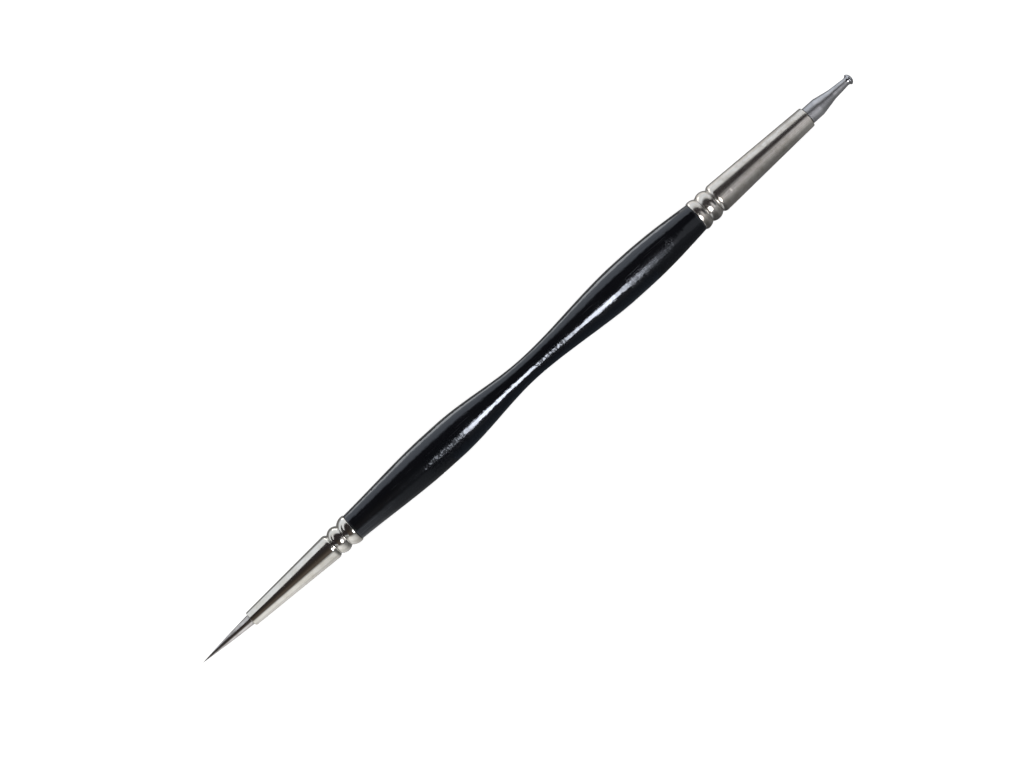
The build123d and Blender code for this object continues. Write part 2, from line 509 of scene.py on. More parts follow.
        at = add("ShaderNodeVectorMath", (out, add("ShaderNodeCombineXYZ", (x,))), operation="ADD")
        away = add("ShaderNodeVectorMath", (at, given["Dent Place"]), operation="DISTANCE").outputs["Value"]
        reach = {"Value": away, "From Min": 0.0, "From Max": given["Dent Reach"]}
        fall = {**reach, "To Min": given["Dent Depth"], "To Max": 0.0}
        dent = add("ShaderNodeMapRange", fall, interpolation_type="SMOOTHSTEP")

        cut = add("ShaderNodeMath", (wave, given["Wave Depth"]), operation="MULTIPLY")
        cut = add("ShaderNodeMath", (mark, given["Mark Depth"], cut), operation="MULTIPLY_ADD")
        cut = add("ShaderNodeMath", (cut, dent), operation="ADD")
        shown = add("ShaderNodeMath", (1.0, inner), operation="SUBTRACT")
        cut = add("ShaderNodeMath", (cut, shown), operation="MULTIPLY")
        left = add("ShaderNodeMath", (radius, cut), operation="SUBTRACT")
        left = add("ShaderNodeMath", (left, 0.0), operation="MAXIMUM")
        worn = add("ShaderNodeVectorMath", {"Vector": round_it, "Scale": left}, operation="SCALE")
        axis = add("ShaderNodeCombineXYZ", (x, 0.0, given["Axis Height"]))
        return add("ShaderNodeVectorMath", (worn, axis), operation="ADD")


class Lathe:
    """Turns outlines into finished pieces with one shared Geometry Nodes tree."""

    turn_reach = 0.25
    # Turn of a hollow at which its painted shade is full
    shading_turn = math.radians(60)
    rubbing_turn = math.radians(80)
    # Reach of the painted shade along each joint that a job lists
    shaded_reach = 0.7

    def __init__(self) -> None:
        """Make the shared tree."""
        self.tree = LatheTree()

    def bends(self, points: np.ndarray) -> np.ndarray:
        """Measure how sharply an outline turns at each of its points.

        Args:
            points: The outline's points in order.

        Returns:
            The turn at each point as an angle, above zero in a hollow and below zero on an edge.
        """
        run = np.concatenate([[0.0], np.cumsum(np.hypot(*np.diff(points, axis=0).T))])
        ahead = np.stack([np.interp(run + self.turn_reach, run, line) for line in points.T], axis=1) - points
        behind = points - np.stack([np.interp(run - self.turn_reach, run, line) for line in points.T], axis=1)
        across = behind[:, 0] * ahead[:, 1] - behind[:, 1] * ahead[:, 0]
        return np.arctan2(across, (behind * ahead).sum(axis=1))

    def chain(self, job: Job) -> bpy.types.Object:
        """Make the object that holds a job's outline as a chain of edges, in metres.

        Args:
            job: The piece to turn.

        Returns:
            The object, whose points carry where the piece is inner, where shade is painted on it in hollows
            and at joints, and where it is rubbed.
        """
        points, inner = job.outline.sampled(job.surface.step)
        if job.looped:
            points[-1] = points[0]
        bends = self.bends(points)
        # Painted shade: darker in the outline's hollows and along the joints that the job lists
        soil = np.clip(bends / self.shading_turn, 0.0, 1.0)
        for place in job.painted_shade_at:
            soil = np.maximum(soil, 1.0 - np.abs(points[:, 0] - place) / self.shaded_reach)
        rub = np.clip(-bends / self.rubbing_turn, 0.0, 1.0)
        mesh = bpy.data.meshes.new(job.name)
        vertices = [(job.place.x_of(x) * MM, 0.0, r * MM) for x, r in points]
        mesh.from_pydata(vertices, [(at, at + 1) for at in range(len(points) - 1)], [])
        for name, values in zip(LatheTree.carried, (inner, soil, rub)):
            mesh.attributes.new(name, "FLOAT", "POINT").data.foreach_set("value", values.astype(np.float32))
        piece = bpy.data.objects.new(job.name, mesh)
        bpy.context.scene.collection.objects.link(piece)
        return piece

    def dent_place(self, job: Job) -> Vector:
        """Find the point of a job's drawn surface where the middle of its dent lies.

        Args:
            job: The piece to turn.

        Returns:
            The point, in metres from the middle of the tool's axis.
        """
        dent = job.surface.dent
        points, _ = job.outline.sampled(job.surface.step)
        off = (points[:, 0] - (dent.x - job.place.start) * job.place.along.value) ** 2
        radius = points[np.argmin(off), 1]
        across = -dent.across_share * radius
        return Vector((dent.x, across, math.sqrt(max(radius**2 - across**2, 0.0)))) * MM

    def turn(self, job: Job) -> bpy.types.Object:
        """Turn a job's outline into a closed plain mesh with its finishes.

        Args:
            job: The piece to turn.

        Returns:
            The finished piece.
        """
        piece = self.chain(job)
        surface, dent = job.surface, job.surface.dent
        modifier = piece.modifiers.new("lathe", "NODES")
        modifier.node_group = self.tree.tree
        sockets = self.tree.identifiers()
        values = {
            "Sides": surface.sides,
            "Axis Height": job.place.axis_height * MM,
            "Wave Depth": surface.wave_depth * MM,
            "Wave Length": surface.wave_length * MM,
            "Wave Stretch": surface.wave_stretch,
            "Mark Depth": surface.mark_depth * MM,
            "Mark Pitch": surface.mark_pitch * MM,
            "Dent Place": self.dent_place(job),
            "Dent Reach": dent.reach * MM,
            "Dent Depth": dent.depth * MM,
            "Seed": surface.seed,
            "Finish": job.finish,
            "Inner Finish": job.inner_finish,
        }
        for name, value in values.items():
            modifier[sockets[name]] = value
        self.settle(piece)
        return piece

    def settle(self, piece: bpy.types.Object) -> None:
        """Make a piece's evaluated result its plain mesh, with faces outwards, and drop the modifier.

        Args:
            piece: The piece.
        """
        depsgraph = bpy.context.evaluated_depsgraph_get()
        mesh = bpy.data.meshes.new_from_object(piece.evaluated_get(depsgraph), depsgraph=depsgraph)
        piece.modifiers.clear()
        piece.data = mesh
        mesh.name = piece.name
        shell = bmesh.new()
        shell.from_mesh(mesh)
        bmesh.ops.recalc_face_normals(shell, faces=shell.faces)
        open_edges = sum(1 for edge in shell.edges if not edge.is_manifold)
        shell.to_mesh(mesh)
        shell.free()
        log.info("%s: %d faces, %d open edges", piece.name, len(mesh.polygons), open_edges)


class Coat:
    """A material in the making: its shader and the coordinates that its patterns follow."""

    def __init__(self, name: str, axis_height: float = 0.0) -> None:
        """Start a material.

        Args:
            name: The real material's name.
            axis_height: Height of the tool's axis, in millimetres, where the pattern goes round it.
        """
        self.material = bpy.data.materials.new(name)
        self.material.use_nodes = True
        self.material.node_tree.nodes.clear()
        self.add = partial(add_node, self.material.node_tree)
        self.shader = self.add("ShaderNodeBsdfPrincipled")
        self.add("ShaderNodeOutputMaterial", {"Surface": self.shader})
        place = self.add("ShaderNodeTexCoord").outputs["Object"]
        centre = (0.0, 0.0, -axis_height * MM)
        self.place = self.add("ShaderNodeMapping", {"Vector": place, "Location": centre})
        across = self.add("ShaderNodeVectorMath", (self.place, (0.0, 1.0, 1.0)), operation="MULTIPLY")
        self.around = self.add("ShaderNodeVectorMath", (across,), operation="NORMALIZE")

    def finish(self, inputs: dict[str, Any]) -> bpy.types.Material:
        """Feed the shader its inputs and give the material."""
        feed(self.shader, inputs)
        return self.material

    def stretched(self, length: float, width: float, radius: float) -> bpy.types.Node:
        """Give coordinates for a pattern that follows the turned surface.

        Args:
            length: Size of the pattern along the tool, in millimetres.
            width: Its size round the tool, in millimetres.
            radius: Radius at which it has that width.

        Returns:
            The node with the coordinates, for a texture with a scale of 1.
        """
        along = (1 / (length * MM), 0.0, 0.0)
        turns = radius / width
        run = self.add("ShaderNodeVectorMath", (self.place, along), operation="MULTIPLY")
        around = {"Vector": self.around, "Scale": turns}
        around = self.add("ShaderNodeVectorMath", around, operation="SCALE")
        return self.add("ShaderNodeVectorMath", (run, around), operation="ADD")


@dataclass(frozen=True)
class RubbedPlace:
    """A patch of lacquer rubbed in specks.

    It has a middle and a reach along X, and a roughness and a dulling that its specks come to.
    """

    middle: float
    reach: float
    roughness: float
    dulling: float


@dataclass(frozen=True)
class BlackLacquer:
    """Black nitrocellulose lacquer, dipped over turned birch and left to level.

    It is a deep wet gloss, a little wavy, with the wood's grain just telegraphing through, so bright
    reflections on it break up lengthwise. On top, a patch on each swell and one at the waist are
    rubbed finely dull in specks. Handling has left hairlines, a scuff on the dotting side's swell and
    rubbed edges where the ferrules begin.
    """

    colour: str = "#0d0e12"
    thin_colour: str = "#13151a"
    sheen: str = "#ecf4ff"
    ior: float = 1.58
    smooth: float = 0.07
    hazy: float = 0.16
    haze_mask: Point = (0.35, 0.7)
    cloud_size: float = 5.0
    radius: float = 3.0

    # Wear by handling: hairlines, the scuff and the rubbed edges
    worn_colour: str = "#7f8288"
    worn_share: float = 0.35
    scuffed: float = 0.38
    hairline_length: float = 7.0
    hairline_width: float = 0.16
    hairline_mask: Point = (0.69, 0.76)
    hairline_share: float = 0.35
    scuff_place: tuple[float, float, float] = (32.5, -0.2, 3.4)
    scuff_reach: float = 1.3
    scuff_speck_size: float = 0.35
    scuff_speck_mask: Point = (0.5, 0.62)

    # Patches rubbed in specks: rubbed_core is the share of its reach in which a patch is whole, and
    # round the axis rubbed_lean is its middle and rubbed_spread how far from there it ends and is whole
    dull_sheen: str = "#505358"
    rubbed_places: tuple[RubbedPlace, ...] = (
        RubbedPlace(middle=-19.3, reach=4.7, roughness=0.18, dulling=0.9),
        RubbedPlace(middle=4.8, reach=3.9, roughness=0.16, dulling=0.9),
        RubbedPlace(middle=27.3, reach=5.5, roughness=0.24, dulling=0.2),
    )
    rubbed_core: float = 0.8
    rubbed_lean: float = -13.0
    rubbed_spread: Point = (48.0, 20.0)
    speck_size: float = 0.35
    speck_mask: Point = (0.44, 0.54)
    speck_depth: float = 0.03

    # Relief: the lacquer's slight orange peel and the wood's grain under it
    peel_size: float = 0.9
    peel_depth: float = 0.03
    grain_length: float = 4.0
    grain_width: float = 0.4
    grain_depth: float = 0.012

    def wear(self, coat: Coat, cloud: bpy.types.Node) -> bpy.types.Node:
        """Draw where handling has worn the gloss: hairlines, the scuff and rubbed edges.

        Args:
            coat: The material in the making.
            cloud: The lacquer's slow unevenness, which breaks up the rubbed edges.

        Returns:
            The node that gives the wear, from 0 where the lacquer is untouched to 1.
        """
        add = coat.add

        # Real hairlines are some microns wide: these are drawn coarser, so that they show
        hair_place = coat.stretched(self.hairline_length, self.hairline_width, self.radius)
        hair = add("ShaderNodeTexNoise", {"Vector": hair_place, "Scale": 1.0, "Detail": 1.0})
        low, high = self.hairline_mask
        hair = add("ShaderNodeMapRange", {"Value": hair, "From Min": low, "From Max": high})

        centre = tuple(part * MM for part in self.scuff_place)
        away = add("ShaderNodeVectorMath", (coat.place, centre), operation="DISTANCE").outputs["Value"]
        inputs = {"Value": away, "From Min": self.scuff_reach * MM, "From Max": 0.0}
        near = add("ShaderNodeMapRange", inputs, interpolation_type="SMOOTHSTEP")
        inputs = {"Vector": coat.place, "Scale": 1 / (self.scuff_speck_size * MM), "Detail": 3.0}
        specks = add("ShaderNodeTexNoise", inputs)
        low, high = self.scuff_speck_mask
        specks = add("ShaderNodeMapRange", {"Value": specks, "From Min": low, "From Max": high})
        scuff = add("ShaderNodeMath", (near, specks), operation="MULTIPLY")

        rub = add("ShaderNodeAttribute", attribute_name="rub").outputs["Fac"]
        broken = add("ShaderNodeMath", (rub, cloud), operation="MULTIPLY")
        worn = add("ShaderNodeMath", (scuff, broken), operation="MAXIMUM")
        worn = add("ShaderNodeMath", (hair, self.hairline_share, worn), operation="MULTIPLY_ADD")
        return add("ShaderNodeMath", (worn, 1.0), operation="MINIMUM")

    def rubbing(self, coat: Coat) -> tuple[bpy.types.Node, bpy.types.Node]:
        """Draw the patches on top of the handle that are rubbed in specks.

        Args:
            coat: The material in the making.

        Returns:
            The node that gives the specks' roughness and the one that gives how dull they are, both 0
            between the specks.
        """
        add = coat.add
        parts = add("ShaderNodeSeparateXYZ", (coat.place,)).outputs
        lean = add("ShaderNodeMath", (parts["Y"], parts["Z"]), operation="ARCTAN2")
        lean = add("ShaderNodeMath", (lean, math.radians(self.rubbed_lean)), operation="SUBTRACT")
        lean = add("ShaderNodeMath", (lean,), operation="ABSOLUTE")
        outer, inner = (math.radians(angle) for angle in self.rubbed_spread)
        facing = add("ShaderNodeMapRange", {"Value": lean, "From Min": outer, "From Max": inner})

        rubbed, dulled = 0.0, 0.0
        for place in self.rubbed_places:
            off = add("ShaderNodeMath", (parts["X"], place.middle * MM), operation="SUBTRACT")
            off = add("ShaderNodeMath", (off,), operation="ABSOLUTE")
            core = place.reach * self.rubbed_core * MM
            inputs = {"Value": off, "From Min": place.reach * MM, "From Max": core}
            near = add("ShaderNodeMapRange", inputs, interpolation_type="SMOOTHSTEP")
            rubbed = add("ShaderNodeMath", (near, place.roughness, rubbed), operation="MULTIPLY_ADD")
            dulled = add("ShaderNodeMath", (near, place.dulling, dulled), operation="MULTIPLY_ADD")

        inputs = {"Vector": coat.place, "Scale": 1 / (self.speck_size * MM), "Detail": 2.0}
        speck = add("ShaderNodeTexNoise", inputs)
        low, high = self.speck_mask
        speck = add("ShaderNodeMapRange", {"Value": speck, "From Min": low, "From Max": high})
        speck = add("ShaderNodeMath", (speck, facing), operation="MULTIPLY")
        rubbed = add("ShaderNodeMath", (rubbed, speck), operation="MULTIPLY")
        dulled = add("ShaderNodeMath", (dulled, speck), operation="MULTIPLY")
        return rubbed, dulled

    def relief(self, coat: Coat, rubbed: bpy.types.Node) -> bpy.types.Node:
        """Draw the surface's fine relief: orange peel, the wood's grain and the rubbed specks.

        Args:
            coat: The material in the making.
            rubbed: The rubbed specks.

        Returns:
            The node that gives the normal.
        """
        add = coat.add
        inputs = {"Vector": coat.place, "Scale": 1 / (self.peel_size * MM), "Detail": 1.0}
        peel = add("ShaderNodeTexNoise", inputs)
        inputs = {"Strength": 1.0, "Distance": self.peel_depth * MM, "Height": peel}
        bump = add("ShaderNodeBump", inputs)
        grain_place = coat.stretched(self.grain_length, self.grain_width, self.radius)
        grain = add("ShaderNodeTexNoise", {"Vector": grain_place, "Scale": 1.0, "Detail": 2.0})
        for height, depth in ((grain, self.grain_depth), (rubbed, self.speck_depth)):
            inputs = {"Strength": 1.0, "Distance": depth * MM, "Height": height, "Normal": bump}
            bump = add("ShaderNodeBump", inputs)
        return bump

    def build(self, axis_height: float) -> bpy.types.Material:
        """Build the material.

        Args:
            axis_height: Height of the tool's axis, in millimetres, which the patterns go round.

        Returns:
            The material.
        """
        coat = Coat("black_nitrocellulose_lacquer", axis_height)
        add = coat.add
        inputs = {"Vector": coat.place, "Scale": 1 / (self.cloud_size * MM), "Detail": 4.0}
        cloud = add("ShaderNodeTexNoise", inputs)
        inputs = {"Fac": cloud, "Color1": linear(self.colour), "Color2": linear(self.thin_colour)}
        tone = add("ShaderNodeMixRGB", inputs)
        worn = self.wear(coat, cloud)
        fade = add("ShaderNodeMath", (worn, self.worn_share), operation="MULTIPLY")
        inputs = {"Fac": fade, "Color1": tone, "Color2": linear(self.worn_colour)}
        colour = add("ShaderNodeMixRGB", inputs)

        low, high = self.haze_mask
        inputs = {"Value": cloud, "From Min": low, "From Max": high}
        haze = add("ShaderNodeMapRange", {**inputs, "To Min": self.smooth, "To Max": self.hazy})
        gap = add("ShaderNodeMath", (self.scuffed, haze), operation="SUBTRACT")
        rough = add("ShaderNodeMath", (gap, worn, haze), operation="MULTIPLY_ADD")
        rubbed, dulled = self.rubbing(coat)
        rough = add("ShaderNodeMath", (rough, rubbed), operation="MAXIMUM")
        inputs = {"Fac": dulled, "Color1": linear(self.sheen), "Color2": linear(self.dull_sheen)}
        sheen = add("ShaderNodeMixRGB", inputs)
        inputs = {"Base Color": colour, "Roughness": rough, "IOR": self.ior, "Specular Tint": sheen}
        return coat.finish({**inputs, "Normal": self.relief(coat, rubbed)})


@dataclass(frozen=True)
class MetalFinish:
    """A metal surface: how it was made, how bright it still is, how it is rubbed, and the shade that is
    painted in its hollows and at its joints.

    Use has polished it more and more from the first place along X in polished_x to the second, and
    fully past that. Both lie past the tool by default.
    """

    name: str
    grain: Grain
    colour: str
    tarnish: str
    smooth: float
    rough: float
    line_width: float
    line_depth: float
    line_length: float = 20.0
    line_shade: float = 0.25
    line_mask: Point = (0.35, 0.65)
    # Painted shade in hollows and at joints: its dark brown, its share, the mottle range that breaks it up,
    # its least share there, and its roughness
    soil: str = "#2b2621"
    painted_shade_share: float = 0.35
    painted_shade_mask: Point = (0.3, 0.6)
    least_painted_shade: float = 0.4
    painted_shade_rough: float = 0.55
    bared: str = "#cfc9be"
    mottle_size: float = 2.0
    mottle_roughness: float = 0.6
    mottle_mask: Point = (0.35, 0.72)
    polished_x: Point = (1000.0, 1001.0)
    polished: float = 0.12
    radius: float = 2.2

    def lines(self, coat: Coat) -> bpy.types.Node:
        """Draw the marks of the metal's making, along the tool or round it.

        Args:
            coat: The material in the making.

        Returns:
            The node that gives the marks, around 0.5.
        """
        drawn = self.grain is Grain.DRAWN
        size = (self.line_length, self.line_width) if drawn else (self.line_width, self.line_length)
        inputs = {"Vector": coat.stretched(*size, self.radius), "Scale": 1.0, "Detail": 2.0}
        return coat.add("ShaderNodeTexNoise", inputs)

    def shaded(self, coat: Coat, mottle: bpy.types.Node) -> bpy.types.Node:
        """Draw where shade is painted, in hollows and where pieces meet.

        Args:
            coat: The material in the making.
            mottle: The metal's blotches, which break it up.

        Returns:
            The node that gives the painted shade's share.
        """
        add = coat.add
        soil = add("ShaderNodeAttribute", attribute_name="soil").outputs["Fac"]
        low, high = self.painted_shade_mask
        inputs = {"Value": mottle, "From Min": low, "From Max": high}
        patchy = add("ShaderNodeMapRange", {**inputs, "To Min": self.least_painted_shade, "To Max": 1.0})
        shaded = add("ShaderNodeMath", (soil, patchy), operation="MULTIPLY")
        return add("ShaderNodeMath", (shaded, self.painted_shade_share), operation="MULTIPLY")

    def build(self, axis_height: float) -> bpy.types.Material:
        """Build the material.

        Args:
            axis_height: Height of the tool's axis, in millimetres, which the patterns go round.

        Returns:
            The material.
        """
        coat = Coat(self.name, axis_height)
        add = coat.add
        lines = self.lines(coat)
        inputs = {"Vector": coat.place, "Scale": 1 / (self.mottle_size * MM), "Detail": 5.0}
        mottle = add("ShaderNodeTexNoise", {**inputs, "Roughness": self.mottle_roughness})
        low, high = self.mottle_mask
        inputs = {"Value": mottle, "From Min": low, "From Max": high}
        patch = add("ShaderNodeMapRange", inputs, interpolation_type="SMOOTHSTEP")
        inputs = {"Fac": patch, "Color1": linear(self.colour), "Color2": linear(self.tarnish)}
        tone = add("ShaderNodeMixRGB", inputs)
        low, high = self.line_mask
        inputs = {"Value": lines, "From Min": low, "From Max": high}
        shade = add("ShaderNodeMapRange", {**inputs, "To Min": self.line_shade, "To Max": 0.0})
        tone = add("ShaderNodeMixRGB", {"Fac": shade, "Color1": tone, "Color2": linear(self.tarnish)})
        rub = add("ShaderNodeAttribute", attribute_name="rub").outputs["Fac"]
        bared = add("ShaderNodeMath", (rub, mottle), operation="MULTIPLY")
        tone = add("ShaderNodeMixRGB", {"Fac": bared, "Color1": tone, "Color2": linear(self.bared)})
        # Painted shade: the hollows and joints turn dark brown and rougher
        shaded = self.shaded(coat, mottle)
        colour = add("ShaderNodeMixRGB", {"Fac": shaded, "Color1": tone, "Color2": linear(self.soil)})

        dull = add("ShaderNodeMapRange", {"Value": patch, "To Min": self.smooth, "To Max": self.rough})
        gap = add("ShaderNodeMath", (self.painted_shade_rough, dull), operation="SUBTRACT")
        rough = add("ShaderNodeMath", (gap, shaded, dull), operation="MULTIPLY_ADD")
        along = add("ShaderNodeSeparateXYZ", (coat.place,)).outputs["X"]
        low, high = (x * MM for x in self.polished_x)
        inputs = {"Value": along, "From Min": low, "From Max": high}
        rough = add("ShaderNodeMapRange", {**inputs, "To Min": rough, "To Max": self.polished})
        inputs = {"Strength": 1.0, "Distance": self.line_depth * MM, "Height": lines}
        bump = add("ShaderNodeBump", inputs)
        return coat.finish({"Base Color": colour, "Metallic": 1.0, "Roughness": rough, "Normal": bump})


# Nickel plated over drawn brass and buffed: a warm bright mirror, with a faint lengthwise shimmer of
# die lines and yellowish brown film where hands have dulled it. Die lines are some microns wide and
# are drawn at a tenth of a millimetre or more, so that they show
BRIGHT_NICKEL = MetalFinish(
    name="buffed_nickel_plated_brass",
    grain=Grain.DRAWN,
    colour="#d1cfca",
    tarnish="#c2beb5",
    smooth=0.1,
    rough=0.17,
    line_width=0.14,
    line_depth=0.0012,
)

# The same plating where the buffing is gone and years of handling have matted it: greyer, its
# reflections spread out soft and a little blotchy
DULLED_NICKEL = replace(
    BRIGHT_NICKEL,
    name="dulled_nickel_plated_brass",
    colour="#d3d0cc",
    tarnish="#bab5ae",
    smooth=0.2,
    rough=0.27,
    line_depth=0.002,
    line_shade=0.4,
)

# Brass straight from the die, on the ferrules' unplated inside: a dull yellow with lengthwise lines
DRAWN_BRASS = MetalFinish(
    name="drawn_brass",
    grain=Grain.DRAWN,
    colour="#c9a65e",
    tarnish="#8f6f3c",
    smooth=0.25,
    rough=0.4,
    line_width=0.14,
    line_depth=0.002,
    bared="#d8bd7c",
)

# Needle steel ground to a taper on a fine wheel: bright and neutral, with faint rings across it that
# break up what it mirrors. Grinding rings are some microns apart and are drawn at 0.3 mm, to show
GROUND_STEEL = MetalFinish(
    name="ground_tool_steel",
    grain=Grain.TURNED,
    colour="#c6c3c2",
    tarnish="#9b9692",
    smooth=0.14,
    rough=0.24,
    line_width=0.3,
    line_depth=0.0015,
    line_length=3.0,
    bared="#d4d2d0",
    radius=0.9,
)

# Mild steel turned in one pass and left from the tool: a grey satin with visible rings, polished on
# the head by its own use
TURNED_STEEL = MetalFinish(
    name="turned_mild_steel",
    grain=Grain.TURNED,
    colour="#bdbec1",
    tarnish="#a5a6aa",
    smooth=0.3,
    rough=0.4,
    line_width=0.28,
    line_depth=0.003,
    line_length=4.0,
    bared="#cdd0d6",
    polished_x=(73.4, 74.0),
    polished=0.14,
    radius=1.3,
)


@dataclass(frozen=True)
class BareBirch:
    """Birch as it comes off the lathe, under the ferrules: pale, dry, with fine lengthwise grain."""

    light: str = "#dcc097"
    dark: str = "#b28f5f"
    fibre_length: float = 9.0
    fibre_width: float = 0.3
    fibre_depth: float = 0.02
    radius: float = 2.0
    rough: float = 0.72
    rough_swing: float = 0.1

    def build(self, axis_height: float) -> bpy.types.Material:
        """Build the material.

        Args:
            axis_height: Height of the tool's axis, in millimetres, which the grain goes round.

        Returns:
            The material.
        """
        coat = Coat("bare_turned_birch", axis_height)
        fibre_place = coat.stretched(self.fibre_length, self.fibre_width, self.radius)
        fibres = coat.add("ShaderNodeTexNoise", {"Vector": fibre_place, "Scale": 1.0, "Detail": 4.0})
        tone = {"Fac": fibres, "Color1": linear(self.dark), "Color2": linear(self.light)}
        low, high = self.rough - self.rough_swing, self.rough + self.rough_swing
        dry = {"Value": fibres, "To Min": low, "To Max": high}
        bump = {"Strength": 1.0, "Distance": self.fibre_depth * MM, "Height": fibres}
        inputs = {
            "Base Color": coat.add("ShaderNodeMixRGB", tone),
            "Roughness": coat.add("ShaderNodeMapRange", dry),
            "Normal": coat.add("ShaderNodeBump", bump),
        }
        return coat.finish(inputs)


@dataclass(frozen=True)
class SetEpoxy:
    """Two-part epoxy, mixed by hand and set inside the ferrule: amber, glossy, with small air bubbles."""

    clear: str = "#cfa765"
    cloudy: str = "#dcc391"
    cloud_size: float = 1.5
    bubble_size: float = 0.6
    bubble_depth: float = 0.05
    ior: float = 1.55
    smooth: float = 0.18
    hazy: float = 0.32

    def build(self, axis_height: float) -> bpy.types.Material:
        """Build the material.

        Args:
            axis_height: Height of the tool's axis, in millimetres.

        Returns:
            The material.
        """
        coat = Coat("set_amber_epoxy", axis_height)
        inputs = {"Vector": coat.place, "Scale": 1 / (self.cloud_size * MM), "Detail": 3.0}
        cloud = coat.add("ShaderNodeTexNoise", inputs)
        inputs = {"Vector": coat.place, "Scale": 1 / (self.bubble_size * MM)}
        bubbles = coat.add("ShaderNodeTexVoronoi", inputs, feature="SMOOTH_F1").outputs["Distance"]
        tone = {"Fac": cloud, "Color1": linear(self.clear), "Color2": linear(self.cloudy)}
        gloss = {"Value": cloud, "To Min": self.smooth, "To Max": self.hazy}
        bump = {"Strength": 1.0, "Distance": self.bubble_depth * MM, "Height": bubbles}
        inputs = {
            "Base Color": coat.add("ShaderNodeMixRGB", tone),
            "Roughness": coat.add("ShaderNodeMapRange", gloss),
            "IOR": self.ior,
            "Normal": coat.add("ShaderNodeBump", bump),
        }
        return coat.finish(inputs)


@dataclass
class RolledFerrule:
    """A drawn metal ferrule, rolled twice onto its tenon, so that a collar and a bead stand between grooves.

    Lengths run from its rim at the handle to its mouth.
    """

    node: str
    along: Along
    rim_radius: float
    collar_radius: float
    collar_crest: float
    collar_length: float
    inner_groove_radius: float
    bead_radius: float
    bead_length: float
    outer_groove_radius: float
    shoulder_length: float
    cone_radius: float
    mouth_radius: float
    finish: MetalFinish
    surface: Surface
    wall: float = 0.4
    seat: float = 0.02
    groove_round: float = 0.15
    rim_round: float = 0.12
    mouth_round: float = 0.1
    tenon_length: float = 7.5
    tenon_chamfer: float = 0.4
    length: float = field(init=False)
    place: Place = field(init=False)

    def __post_init__(self) -> None:
        """Read the ferrule's own length and place from the frame."""
        low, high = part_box(self.node)
        self.length = (high.x - low.x) / MM
        start = high.x if self.along is Along.NEEDLE else low.x
        self.place = Place(start / MM, self.along, (low.z + high.z) / 2 / MM)

    @property
    def outer_groove(self) -> float:
        """Length from the rim to the groove between bead and cone."""
        return self.collar_length + self.bead_length

    @property
    def shoulder(self) -> float:
        """Length from the rim to the wide end of the cone."""
        return self.outer_groove + self.shoulder_length

    def cone_radius_at(self, place: float) -> float:
        """Give the cone's outer radius at a length from the rim."""
        share = (place - self.shoulder) / (self.length - self.shoulder)
        return self.cone_radius + share * (self.mouth_radius - self.cone_radius)

    def rolls(self, drawn: Outline, inset: float, reach: float, corner: float = 0.0) -> None:
        """Draw collar, bead and cone outwards, an inset under the surface.

        Args:
            drawn: The outline to go on with, which stands at the rim.
            inset: Depth under the ferrule's surface.
            reach: Length from the rim where the cone's stretch ends.
            corner: Radius of the corner at the rim.
        """
        groove = (self.collar_length, self.inner_groove_radius - inset)
        drawn.arc((self.collar_crest, self.collar_radius - inset), groove, corner)
        crest = (self.collar_length + self.bead_length / 2, self.bead_radius - inset)
        drawn.arc(crest, (self.outer_groove, self.outer_groove_radius - inset), self.groove_round)
        up_the_cone = (self.length - self.shoulder, self.mouth_radius - self.cone_radius)
        shoulder = (self.shoulder, self.cone_radius - inset)
        drawn.tangent_arc(shoulder, up_the_cone, leaving=False, corner=self.groove_round)
        drawn.line((reach, self.cone_radius_at(reach) - inset))

    def outline(self) -> Outline:
        """Draw the tube's wall as a loop that starts and ends in the middle of its rim's face.

        Returns:
            The closed outline.
        """
        half_wall = (0.0, self.rim_radius - self.wall / 2)
        drawn = Outline(half_wall)
        drawn.line((0.0, self.rim_radius))
        self.rolls(drawn, 0.0, self.length, self.rim_round)
        drawn.line((self.length, self.mouth_radius - self.wall), self.mouth_round)
        bore = Outline((0.0, self.rim_radius - self.wall), inner=True)
        self.rolls(bore, self.wall, self.length)
        drawn.join(bore.reversed())
        drawn.line(half_wall)
        return drawn

    def tenon(self) -> Outline:
        """Draw the tenon that this ferrule is rolled onto.

        Returns:
            The outline from the tenon's root to its end on the axis.
        """
        inset = self.wall + self.seat
        drawn = Outline((0.0, self.rim_radius - inset), inner=True)
        self.rolls(drawn, inset, self.tenon_length - self.tenon_chamfer)
        drawn.line((self.tenon_length, drawn.end[1] - self.tenon_chamfer))
        drawn.line((self.tenon_length, 0.0))
        return drawn

    def build(self, lathe: Lathe) -> bpy.types.Object:
        """Turn and dress the ferrule.

        Args:
            lathe: The lathe.

        Returns:
            The ferrule, riding on the tool in place of its CAD node.
        """
        finishes = (finish.build(self.place.axis_height) for finish in (self.finish, DRAWN_BRASS))
        job = Job(self.node + "_shell", self.outline(), self.place, self.surface, *finishes, looped=True)
        return stand_in(lathe.turn(job), self.node)


